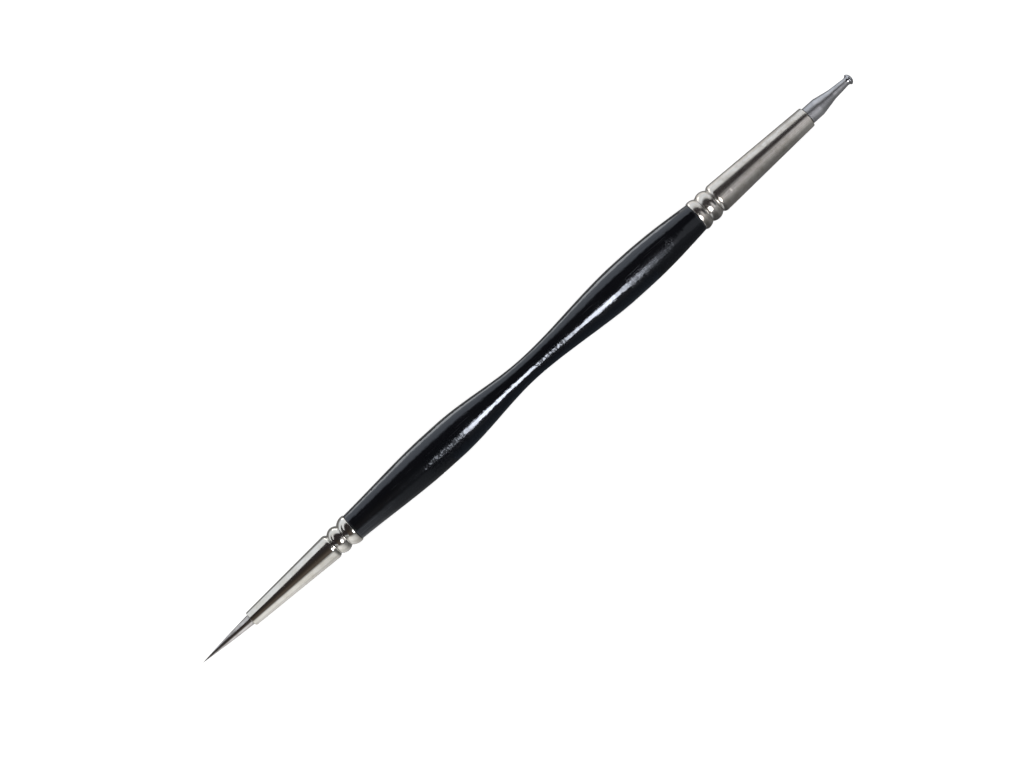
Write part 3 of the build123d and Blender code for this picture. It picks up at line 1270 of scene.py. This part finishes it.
@dataclass
class Handle:
    """The turned wooden handle, lacquered black, with a bare tenon for each ferrule."""

    needle_end: RolledFerrule
    dotting_end: RolledFerrule
    swell_radius: float = 3.65
    waist_radius: float = 2.175
    crest_length: float = 3.0
    needle_swell_share: float = 0.2625
    waist_share: float = 0.513
    dotting_swell_share: float = 0.811
    needle_end_slope: float = 0.045
    dotting_end_slope: float = 0.11
    edge_round: float = 0.12
    rim_step: float = 0.12
    surface: Surface = Surface(step=0.3, wave_depth=0.05, wave_length=4.5, wave_stretch=0.7, seed=3.0)

    @property
    def length(self) -> float:
        """Length between the two joints."""
        return self.dotting_end.place.start - self.needle_end.place.start

    def swell(self, drawn: Outline, share: float, leave: Point, corner: float = 0.0) -> None:
        """Draw the outline up to a swell and along its straight crest.

        Args:
            drawn: The outline to go on with.
            share: Place of the swell's middle, as a share of the handle's length.
            leave: Direction in which the outline goes on.
            corner: Radius of the corner that it starts at.
        """
        middle = share * self.length
        drawn.ease((middle - self.crest_length / 2, self.swell_radius), leave, (1.0, 0.0), corner)
        drawn.line((middle + self.crest_length / 2, self.swell_radius))

    def outline(self) -> Outline:
        """Draw the handle from the end of its needle tenon to the end of its dotting tenon.

        Returns:
            The outline, with lengths from the needle ferrule's rim.
        """
        level = (1.0, 0.0)
        drawn = self.needle_end.tenon().placed(0.0, -1).reversed()
        drawn.inner = False
        drawn.line((0.0, self.needle_end.rim_radius - self.rim_step))
        self.swell(drawn, self.needle_swell_share, (1.0, self.needle_end_slope), self.edge_round)
        drawn.ease((self.waist_share * self.length, self.waist_radius), level, level)
        self.swell(drawn, self.dotting_swell_share, level)
        shoulder = (self.length, self.dotting_end.rim_radius - self.rim_step)
        drawn.ease(shoulder, level, (1.0, -self.dotting_end_slope))
        tenon = self.dotting_end.tenon().placed(self.length, 1)
        drawn.line(tenon.stretches[0].points[0], self.edge_round)
        drawn.join(tenon)
        return drawn

    def build(self, lathe: Lathe) -> bpy.types.Object:
        """Turn and dress the handle.

        Args:
            lathe: The lathe.

        Returns:
            The handle, riding on the tool in place of its CAD node.
        """
        axis_height = self.needle_end.place.axis_height
        place = Place(self.needle_end.place.start, Along.DOTTING, axis_height)
        finishes = (finish.build(axis_height) for finish in (BlackLacquer(), BareBirch()))
        # The joints are listed for painted shade, which the lacquer and the bare birch don't use
        job = Job("handle_body", self.outline(), place, self.surface, *finishes, painted_shade_at=(0.0, self.length))
        return stand_in(lathe.turn(job), "handle")


@dataclass
class NeedleTip:
    """The ground steel needle: a plain shank in the ferrule, then a slightly full taper to a sharp point."""

    ferrule: RolledFerrule
    shank_radius: float = 1.01
    point_radius: float = 0.03
    belly: float = 0.07
    shank_chamfer: float = 0.25
    surface: Surface = Surface(sides=72, wave_depth=0.012, wave_length=2.0, mark_depth=0.006, mark_pitch=0.5)

    def outline(self, shank_back: float, point: float) -> Outline:
        """Draw the needle from the back of its shank to its point.

        Args:
            shank_back: Length from the joint to the back of the shank.
            point: Length from the joint to the point.

        Returns:
            The outline.
        """
        mouth = self.ferrule.length
        drawn = Outline((shank_back, 0.0), inner=True)
        drawn.line((shank_back, self.shank_radius - self.shank_chamfer))
        drawn.line((shank_back + self.shank_chamfer, self.shank_radius))
        drawn.line((mouth, self.shank_radius))
        drawn.inner = False
        end = (point - self.point_radius, self.point_radius)
        middle = ((mouth + end[0]) / 2, (self.shank_radius + end[1]) / 2 + self.belly)
        drawn.arc(middle, end)
        drawn.dome(self.point_radius)
        return drawn

    def build(self, lathe: Lathe) -> bpy.types.Object:
        """Turn and dress the needle.

        Args:
            lathe: The lathe.

        Returns:
            The needle, riding on the tool in place of its CAD node.
        """
        low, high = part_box("needle_tip")
        place = self.ferrule.place
        outline = self.outline(place.start - high.x / MM, place.start - low.x / MM)
        steel = GROUND_STEEL.build(place.axis_height)
        # Shade is painted on the needle where it goes into the ferrule's mouth
        painted_shade_at = (self.ferrule.length,)
        job = Job("needle_point", outline, place, self.surface, steel, steel, painted_shade_at=painted_shade_at)
        return stand_in(lathe.turn(job), "needle_tip")


@dataclass
class DottingTip:
    """The turned steel dotting tip: shank, land, two cones, and a flare to a flattened head."""

    ferrule: RolledFerrule
    shank_radius: float = 1.4
    shank_chamfer: float = 0.25
    land_radius: float = 1.62
    land_gap: float = 0.15
    land_length: float = 2.6
    cone_length: float = 3.2
    cone_end_radius: float = 0.99
    neck_length: float = 3.15
    neck_radius: float = 0.73
    flare_length: float = 0.55
    head_radius: float = 1.05
    dome_length: float = 0.7
    head_rim_round: float = 0.06
    edge_round: float = 0.05
    surface: Surface = Surface(
        step=0.07, sides=96, wave_depth=0.012, wave_length=2.5, mark_depth=0.012, mark_pitch=0.3
    )

    def outline(self, shank_back: float) -> Outline:
        """Draw the tip from the back of its shank to its crown.

        Args:
            shank_back: Length from the joint to the back of the shank.

        Returns:
            The outline.
        """
        mouth = self.ferrule.length
        land_front = mouth + self.land_length
        cone_front = land_front + self.cone_length
        neck_front = cone_front + self.neck_length
        drawn = Outline((shank_back, 0.0), inner=True)
        drawn.line((shank_back, self.shank_radius - self.shank_chamfer))
        drawn.line((shank_back + self.shank_chamfer, self.shank_radius))
        drawn.line((mouth + self.land_gap, self.shank_radius))
        drawn.inner = False
        drawn.line((mouth + self.land_gap, self.land_radius))
        drawn.line((land_front, self.land_radius), self.edge_round)
        drawn.line((cone_front, self.cone_end_radius), self.edge_round)
        drawn.line((neck_front, self.neck_radius), self.edge_round)
        drawn.tangent_arc((neck_front + self.flare_length, self.head_radius), (1.0, 0.0), leaving=True)
        drawn.dome(self.dome_length, self.head_rim_round)
        return drawn

    def build(self, lathe: Lathe) -> bpy.types.Object:
        """Turn and dress the dotting tip.

        Args:
            lathe: The lathe.

        Returns:
            The tip, riding on the tool in place of its CAD node.
        """
        low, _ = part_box("dotting_tip")
        place = self.ferrule.place
        outline = self.outline(low.x / MM - place.start)
        steel = TURNED_STEEL.build(place.axis_height)
        # Shade is painted on the tip where it goes into the ferrule's mouth
        painted_shade_at = (self.ferrule.length,)
        job = Job("dotting_point", outline, place, self.surface, steel, steel, painted_shade_at=painted_shade_at)
        return stand_in(lathe.turn(job), "dotting_tip")


@dataclass(frozen=True)
class UprightCard:
    """A card that stands beside the tool: its levels along X, and the share of them shown at each height."""

    name: str
    levels: tuple[Point, ...]
    shares: tuple[Point, ...]
    y: float = -20.0


@dataclass(frozen=True)
class FloorStrip:
    """A strip that lies beside the tool: its reach across, and its levels along X."""

    name: str
    across: Point
    levels: tuple[Point, ...]


def rectangle(low: Point, high: Point) -> list[Point]:
    """Give the corners of a rectangle in order, from its lowest and its highest one."""
    return [low, (high[0], low[1]), high, (low[0], high[1])]


class Glow:
    """Glowing material of a board that only reflections show, and that nothing is lit by."""

    def __init__(self, board: bpy.types.Object) -> None:
        """Give a board the material, and hide the board from all but reflections.

        Args:
            board: The board.
        """
        board.visible_camera = board.visible_diffuse = board.visible_shadow = False
        board.visible_transmission = board.visible_volume_scatter = False
        material = bpy.data.materials.new(board.name)
        material.use_nodes = True
        material.node_tree.nodes.clear()
        board.data.materials.append(material)
        self.add = partial(add_node, material.node_tree)
        self.light = self.add("ShaderNodeEmission")
        self.add("ShaderNodeOutputMaterial", {"Surface": self.light})
        place = self.add("ShaderNodeTexCoord").outputs["Object"]
        self.place = self.add("ShaderNodeSeparateXYZ", (place,)).outputs

    def level_along(self, axis: str, levels: Sequence[Point]) -> bpy.types.Node:
        """Give the level that the board has at each place along one of its axes.

        Args:
            axis: The axis, "X", "Y" or "Z".
            levels: Places in millimetres, in order, with the level at each.

        Returns:
            The node that gives the level.
        """
        first, last = levels[0][0], levels[-1][0]
        peak = max(level for _, level in levels)
        inputs = {"Value": self.place[axis], "From Min": first * MM, "From Max": last * MM}
        run = self.add("ShaderNodeMapRange", inputs)
        stops = [((at - first) / (last - first), (*[level / peak] * 3, 1.0)) for at, level in levels]
        share = self.add("ShaderNodeValToRGB", {"Fac": run}, stops=stops)
        return self.add("ShaderNodeMath", (share, peak), operation="MULTIPLY")


@dataclass
class Studio:
    """Pale floor, soft surround, one compact lamp close over the tool, cards, and the camera.

    The camera looks straight down, as in the photograph. Angles round the tool's axis are degrees
    from straight up, above zero towards +Y. The cards and the lamp show only in what the tool mirrors.
    """

    axis_height: float

    # Camera: a pixel's size on the tool, focal length and aim in the picture's own pixels, and the
    # picture's turn in degrees
    pixel_size: float = 0.1717
    focal_pixels: float = 2180.0
    image_width: int = 1024
    sensor_width: float = 36.0
    roll: float = 42.1
    aim_right: float = 15.0
    aim_up: float = 14.0
    clip_start: float = 10.0

    # Floor, what lights it, and the part of its brightness that is its own, so that the tool's soft
    # shadow hardly greys it
    floor_size: float = 6000.0
    board_light: float = 0.5
    board_glow: float = 0.75
    board_colour: str = "#f4f4f4"
    board_roughness: float = 0.9

    # Lamp: the radiance of its bright middle, half the width of that and half the reach of its soft
    # edge, all by the place along it, and the radiance beside that, by the place across it. Its
    # colour turns warmer between the two places in lamp_far
    lamp_angle: float = -26.0
    lamp_distance: float = 100.0
    lamp_size: Point = (260.0, 170.0)
    lamp_colour: Light = (1.035, 1.02, 1.04)
    lamp_far_colour: Light = (1.15, 0.93, 0.78)
    lamp_far: Point = (-45.0, -60.0)
    lamp_rest: tuple[Point, ...] = (
        (-40, 0.14), (-5, 0.13), (16, 0.095), (36, 0.06), (60, 0.036), (85, 0.036),
    )
    lamp_glow: tuple[Point, ...] = (
        (-34, 0.1), (-30, 4.4), (-13, 4.4), (-8, 11.5), (-3, 17), (3, 20), (8, 23), (12, 24), (16, 19),
        (20, 13), (27, 10.5), (29.5, 5.2), (36, 3.9), (42, 2.7), (47, 1.4), (53, 0.7), (62, 0.46),
        (68, 0.4), (73, 0.44), (80, 0.39), (86, 0.6), (94, 0.85), (110, 0.95), (130, 0.6),
    )
    lamp_half_widths: tuple[Point, ...] = (
        (-34, 17), (-13, 17), (-7, 21.5), (27, 21.5), (30, 22.5), (36, 23), (48, 22), (62, 25), (70, 60),
        (130, 62),
    )
    lamp_soft_edges: tuple[Point, ...] = ((27, 4.5), (40, 12), (62, 13), (70, 22))

    # Surround: levels by the angle round the tool's axis, and the bright level past both its ends,
    # which comes in as the share of a direction along X goes from end_from to end_to
    surround: tuple[tuple[float, Light], ...] = (
        (-180, (0.2, 0.2, 0.2)),
        (-130, (0.08, 0.095, 0.115)),
        (-60, (0.08, 0.095, 0.115)),
        (-45, (0.09, 0.105, 0.125)),
        (-30, (0.085, 0.1, 0.115)),
        (-17, (0.06, 0.065, 0.075)),
        (-5, (0.038, 0.036, 0.04)),
        (0, (0.038, 0.032, 0.034)),
        (54, (0.038, 0.032, 0.034)),
        (66, (1.08, 1.13, 1.2)),
        (106, (1.08, 1.13, 1.2)),
        (116, (0.62, 0.65, 0.68)),
        (124, (0.22, 0.22, 0.22)),
        (150, (0.25, 0.25, 0.25)),
        (180, (0.2, 0.2, 0.2)),
    )
    end_level: Light = (0.96, 1.0, 1.04)
    end_from: float = 0.93
    end_to: float = 0.985

    # A bright wall past the needle's end, which shows below the dark band where a surface faces it:
    # shares of a direction along -X where it begins and is whole, the angle of its top, and half the
    # reach of its soft edge
    wall_level: Light = (0.8, 0.82, 0.84)
    wall_from: float = 0.45
    wall_to: float = 0.65
    wall_top: float = -22.0
    wall_soft: float = 12.0

    # Cards: what bounds the dark band that the ends of the tool mirror, level over +Y, and what keeps
    # the needle's very point dark
    card_height: float = 30.0
    dotting_card_level: Light = (0.98, 1.0, 1.02)
    dotting_card: tuple[Point, ...] = (
        (46, 55), (54, 48), (64, 38), (75, 27.5), (80, 22), (110, 20), (110, 90), (46, 90),
    )
    needle_card_level: Light = (1.08, 1.12, 1.18)
    needle_card: tuple[Point, ...] = (
        (-52, 45), (-58, 37), (-64, 25), (-71, 17), (-76, 18.5), (-79, 24), (-84.5, 45), (-97.5, 90),
        (-131.5, 200), (-52, 200),
    )
    point_card_level: Light = (0.045, 0.04, 0.042)
    point_card: tuple[Point, ...] = (
        (-82, -8), (-82, 30), (-85, 45), (-98, 90), (-132, 200), (-240, 200), (-240, -8),
    )

    # Upright cards beside both ends, brightest beside the tips
    side_cards: tuple[UprightCard, ...] = (
        UprightCard(
            name="needle_side_card",
            levels=(
                (-130, 0.3), (-84, 0.4), (-79, 0.9), (-75, 1.15), (-60, 1.15), (-51, 0.95), (-44, 0.75),
                (-41, 0.6), (-35, 0.28), (-20, 0.11),
            ),
            shares=((-40, 0.8), (3.6, 0.8), (3.7, 1.0), (19, 1.0), (26, 0.5), (33, 0.12)),
        ),
        UprightCard(
            name="dotting_side_card",
            levels=(
                (30, 0.12), (44, 0.16), (50, 0.33), (60, 0.32), (65, 0.36), (70, 0.55), (80, 0.34),
                (130, 0.3),
            ),
            shares=((-40, 0.5), (7, 0.57), (12, 0.75), (17, 1.0), (28, 1.25)),
        ),
    )

    # Strips just over the floor, which draw the thin light line along the far edge of the handle and
    # brighten that of the dotting ferrule
    strip_height: float = 0.3
    strips: tuple[FloorStrip, ...] = (
        FloorStrip(
            name="handle_strip",
            across=(10.5, 22.5),
            levels=((-42, 2.4), (-36, 3.0), (39.5, 3.0)),
        ),
        FloorStrip(
            name="ferrule_strip",
            across=(7.2, 22.5),
            levels=((39, 1.1), (56, 1.0), (66, 0.5)),
        ),
    )

    def camera(self) -> None:
        """Set the camera straight above the tool, rolled so that the tool crosses the picture."""
        roll = math.radians(-self.roll)
        right = Vector((math.cos(roll), math.sin(roll)))
        up = Vector((-math.sin(roll), math.cos(roll)))
        aim = -(right * self.aim_right + up * self.aim_up) * self.pixel_size
        data = bpy.data.cameras.new("camera")
        data.sensor_width = self.sensor_width
        data.lens = self.focal_pixels / self.image_width * self.sensor_width
        data.clip_start = self.clip_start * MM
        view = bpy.data.objects.new("camera", data)
        view.location = Vector((aim.x, aim.y, self.axis_height + self.focal_pixels * self.pixel_size)) * MM
        view.rotation_euler = (0.0, 0.0, roll)
        bpy.context.scene.collection.objects.link(view)
        bpy.context.scene.camera = view

    def board(self, name: str, corners: Sequence[tuple[float, float, float]]) -> bpy.types.Object:
        """Put up one flat board.

        Args:
            name: Its name.
            corners: Its corners in order, in millimetres.

        Returns:
            The board, marked as no part of the tool.
        """
        mesh = bpy.data.meshes.new(name)
        mesh.from_pydata([Vector(corner) * MM for corner in corners], [], [range(len(corners))])
        board = bpy.data.objects.new(name, mesh)
        bpy.context.scene.collection.objects.link(board)
        return board

    def floor(self) -> None:
        """Lay the plain pale floor, a matt white board that reflections leave out."""
        half = self.floor_size / 2
        corners = rectangle((-half, -half), (half, half))
        floor = self.board("floor", [(x, y, 0.0) for x, y in corners])
        floor.visible_glossy = False
        coat = Coat("matt_white_board")
        paint = {"Base Color": linear(self.board_colour), "Roughness": self.board_roughness}
        material = coat.finish({**paint, "Emission Color": WHITE, "Emission Strength": self.board_glow})
        material.cycles.emission_sampling = "NONE"
        floor.data.materials.append(material)

    def lamp(self) -> None:
        """Hang the compact lamp, which draws the bright streak along the handle."""
        half_x, half_y = (size / 2 for size in self.lamp_size)
        corners = rectangle((-half_x, -half_y), (half_x, half_y))
        lamp = self.board("lamp", [(x, y, 0.0) for x, y in corners])
        angle = math.radians(self.lamp_angle)
        away = Vector((0.0, math.sin(angle), math.cos(angle))) * self.lamp_distance
        lamp.location = (away + Vector((0.0, 0.0, self.axis_height))) * MM
        lamp.rotation_euler = (-angle, 0.0, 0.0)

        glow = Glow(lamp)
        add = glow.add
        bright = glow.level_along("X", self.lamp_glow)
        half = glow.level_along("X", self.lamp_half_widths)
        soft = glow.level_along("X", self.lamp_soft_edges)
        rest = glow.level_along("Y", self.lamp_rest)
        off = add("ShaderNodeMath", (glow.place["Y"],), operation="ABSOLUTE")
        off = add("ShaderNodeMath", (off, 1 / MM), operation="MULTIPLY")
        outside = add("ShaderNodeMath", (half, soft), operation="ADD")
        inside = add("ShaderNodeMath", (half, soft), operation="SUBTRACT")
        inputs = {"Value": off, "From Min": outside, "From Max": inside, "To Min": rest, "To Max": bright}
        level = add("ShaderNodeMapRange", inputs, interpolation_type="SMOOTHSTEP")
        start, end = (x * MM for x in self.lamp_far)
        far = add("ShaderNodeMapRange", {"Value": glow.place["X"], "From Min": start, "From Max": end})
        inputs = {"Fac": far, "Color1": (*self.lamp_colour, 1.0), "Color2": (*self.lamp_far_colour, 1.0)}
        feed(glow.light, {"Color": add("ShaderNodeMixRGB", inputs), "Strength": level})

    def cards(self) -> None:
        """Put up the level cards over the tool that its ends mirror."""
        height = self.axis_height + self.card_height
        for name, outline, level in (
            ("dotting_card", self.dotting_card, self.dotting_card_level),
            ("needle_card", self.needle_card, self.needle_card_level),
            ("point_card", self.point_card, self.point_card_level),
        ):
            card = self.board(name, [(x, y, height) for x, y in outline])
            feed(Glow(card).light, {"Color": (*level, 1.0)})

    def lay_strips(self) -> None:
        """Lay the strips beside the tool, just over the floor."""
        for strip in self.strips:
            (low_x, _), (high_x, _) = strip.levels[0], strip.levels[-1]
            low_y, high_y = strip.across
            corners = rectangle((low_x, low_y), (high_x, high_y))
            glow = Glow(self.board(strip.name, [(x, y, self.strip_height) for x, y in corners]))
            feed(glow.light, {"Strength": glow.level_along("X", strip.levels)})

    def stand_side_cards(self) -> None:
        """Stand the upright cards beside the tool's ends."""
        for card in self.side_cards:
            (low_x, _), (high_x, _) = card.levels[0], card.levels[-1]
            (low_z, _), (high_z, _) = card.shares[0], card.shares[-1]
            corners = rectangle((low_x, low_z), (high_x, high_z))
            glow = Glow(self.board(card.name, [(x, card.y, z) for x, z in corners]))
            level, share = glow.level_along("X", card.levels), glow.level_along("Z", card.shares)
            level = glow.add("ShaderNodeMath", (level, share), operation="MULTIPLY")
            feed(glow.light, {"Strength": level})

    def surroundings(self) -> None:
        """Light the scene: even white for the floor, and soft grey levels for what the tool mirrors."""
        world = bpy.data.worlds.new("studio")
        bpy.context.scene.world = world
        world.use_nodes = True
        world.cycles.sampling_method = "NONE"
        world.node_tree.nodes.clear()
        add = partial(add_node, world.node_tree)
        direction = add("ShaderNodeSeparateXYZ", (add("ShaderNodeTexCoord").outputs["Generated"],)).outputs
        lean = add("ShaderNodeMath", (direction["Y"], direction["Z"]), operation="ARCTAN2")
        share = add("ShaderNodeMapRange", {"Value": lean, "From Min": -math.pi, "From Max": math.pi})
        stops = [((angle + 180) / 360, (*level, 1.0)) for angle, level in self.surround]
        level = add("ShaderNodeValToRGB", {"Fac": share}, stops=stops)
        along = add("ShaderNodeMath", (direction["X"],), operation="ABSOLUTE")
        inputs = {"Value": along, "From Min": self.end_from, "From Max": self.end_to}
        ends = add("ShaderNodeMapRange", inputs, interpolation_type="SMOOTHSTEP")
        inputs = {"Value": direction["X"], "From Min": -self.wall_from, "From Max": -self.wall_to}
        wall = add("ShaderNodeMapRange", inputs, interpolation_type="SMOOTHSTEP")
        high, low = (math.radians(self.wall_top + side * self.wall_soft) for side in (1, -1))
        inputs = {"Value": lean, "From Min": high, "From Max": low}
        below = add("ShaderNodeMapRange", inputs, interpolation_type="SMOOTHSTEP")
        wall = add("ShaderNodeMath", (wall, below), operation="MULTIPLY")
        level = add("ShaderNodeMixRGB", {"Fac": wall, "Color1": level, "Color2": (*self.wall_level, 1.0)})
        inputs = {"Fac": ends, "Color1": level, "Color2": (*self.end_level, 1.0)}
        mirrored = add("ShaderNodeMixRGB", inputs)
        rays = add("ShaderNodeLightPath").outputs
        inputs = {"Fac": rays["Is Glossy Ray"], "Color1": (*[self.board_light] * 3, 1.0), "Color2": mirrored}
        light = add("ShaderNodeMixRGB", inputs)
        seen = add("ShaderNodeMixRGB", {"Fac": rays["Is Camera Ray"], "Color1": light, "Color2": WHITE})
        add("ShaderNodeOutputWorld", {"Surface": add("ShaderNodeBackground", {"Color": seen})})

    def build(self) -> None:
        """Set up all of the studio."""
        bpy.context.scene.view_settings.view_transform = "Standard"
        self.camera()
        self.floor()
        self.lamp()
        self.cards()
        self.lay_strips()
        self.stand_side_cards()
        self.surroundings()


def stand_in(piece: bpy.types.Object, node: str) -> bpy.types.Object:
    """Let a piece stand for its CAD node.

    Args:
        piece: The piece, which rides on the tool's body.
        node: The CAD node.

    Returns:
        The same piece.
    """
    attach(piece, BODY)
    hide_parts(node)
    return piece


def dress_glue(axis_height: float) -> None:
    """Give both glue plugs, which keep their CAD shape, the look of set epoxy.

    Args:
        axis_height: Height of the tool's axis, in millimetres.
    """
    epoxy = SetEpoxy().build(axis_height)
    for name in ("needle_glue_plug", "dotting_glue_plug"):
        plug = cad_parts[name]
        plug.data.materials.clear()
        plug.data.materials.append(epoxy)
        log.info("%s: dressed", name)


def main() -> None:
    """Build the stylus piece by piece, then the studio."""
    logging.basicConfig(level=logging.INFO, format="%(message)s")
    lathe = Lathe()
    needle_end = RolledFerrule(
        node="needle_ferrule",
        along=Along.NEEDLE,
        rim_radius=2.72,
        collar_radius=2.775,
        collar_crest=0.6,
        collar_length=2.05,
        inner_groove_radius=2.1,
        bead_radius=2.535,
        bead_length=2.35,
        outer_groove_radius=1.94,
        shoulder_length=0.8,
        cone_radius=2.38,
        mouth_radius=1.43,
        finish=BRIGHT_NICKEL,
        surface=Surface(wave_depth=0.02, wave_length=4.0, seed=5.0),
    )
    dotting_end = RolledFerrule(
        node="dotting_ferrule",
        along=Along.DOTTING,
        rim_radius=2.845,
        collar_radius=2.915,
        collar_crest=0.5,
        collar_length=1.7,
        inner_groove_radius=2.48,
        bead_radius=2.865,
        bead_length=2.45,
        outer_groove_radius=2.3,
        shoulder_length=0.85,
        cone_radius=2.76,
        mouth_radius=1.99,
        finish=DULLED_NICKEL,
        surface=Surface(
            wave_depth=0.02,
            wave_length=4.0,
            seed=8.0,
            dent=Dent(x=46.2, across_share=0.2, reach=0.45, depth=0.03),
        ),
    )
    for part in (
        needle_end,
        dotting_end,
        Handle(needle_end, dotting_end),
        NeedleTip(needle_end),
        DottingTip(dotting_end),
    ):
        piece = part.build(lathe)
        log.info("%s: in place as %s", type(part).__name__, piece.name)
    dress_glue(needle_end.place.axis_height)
    Studio(needle_end.place.axis_height).build()


if __name__ == "__main__":
    main()
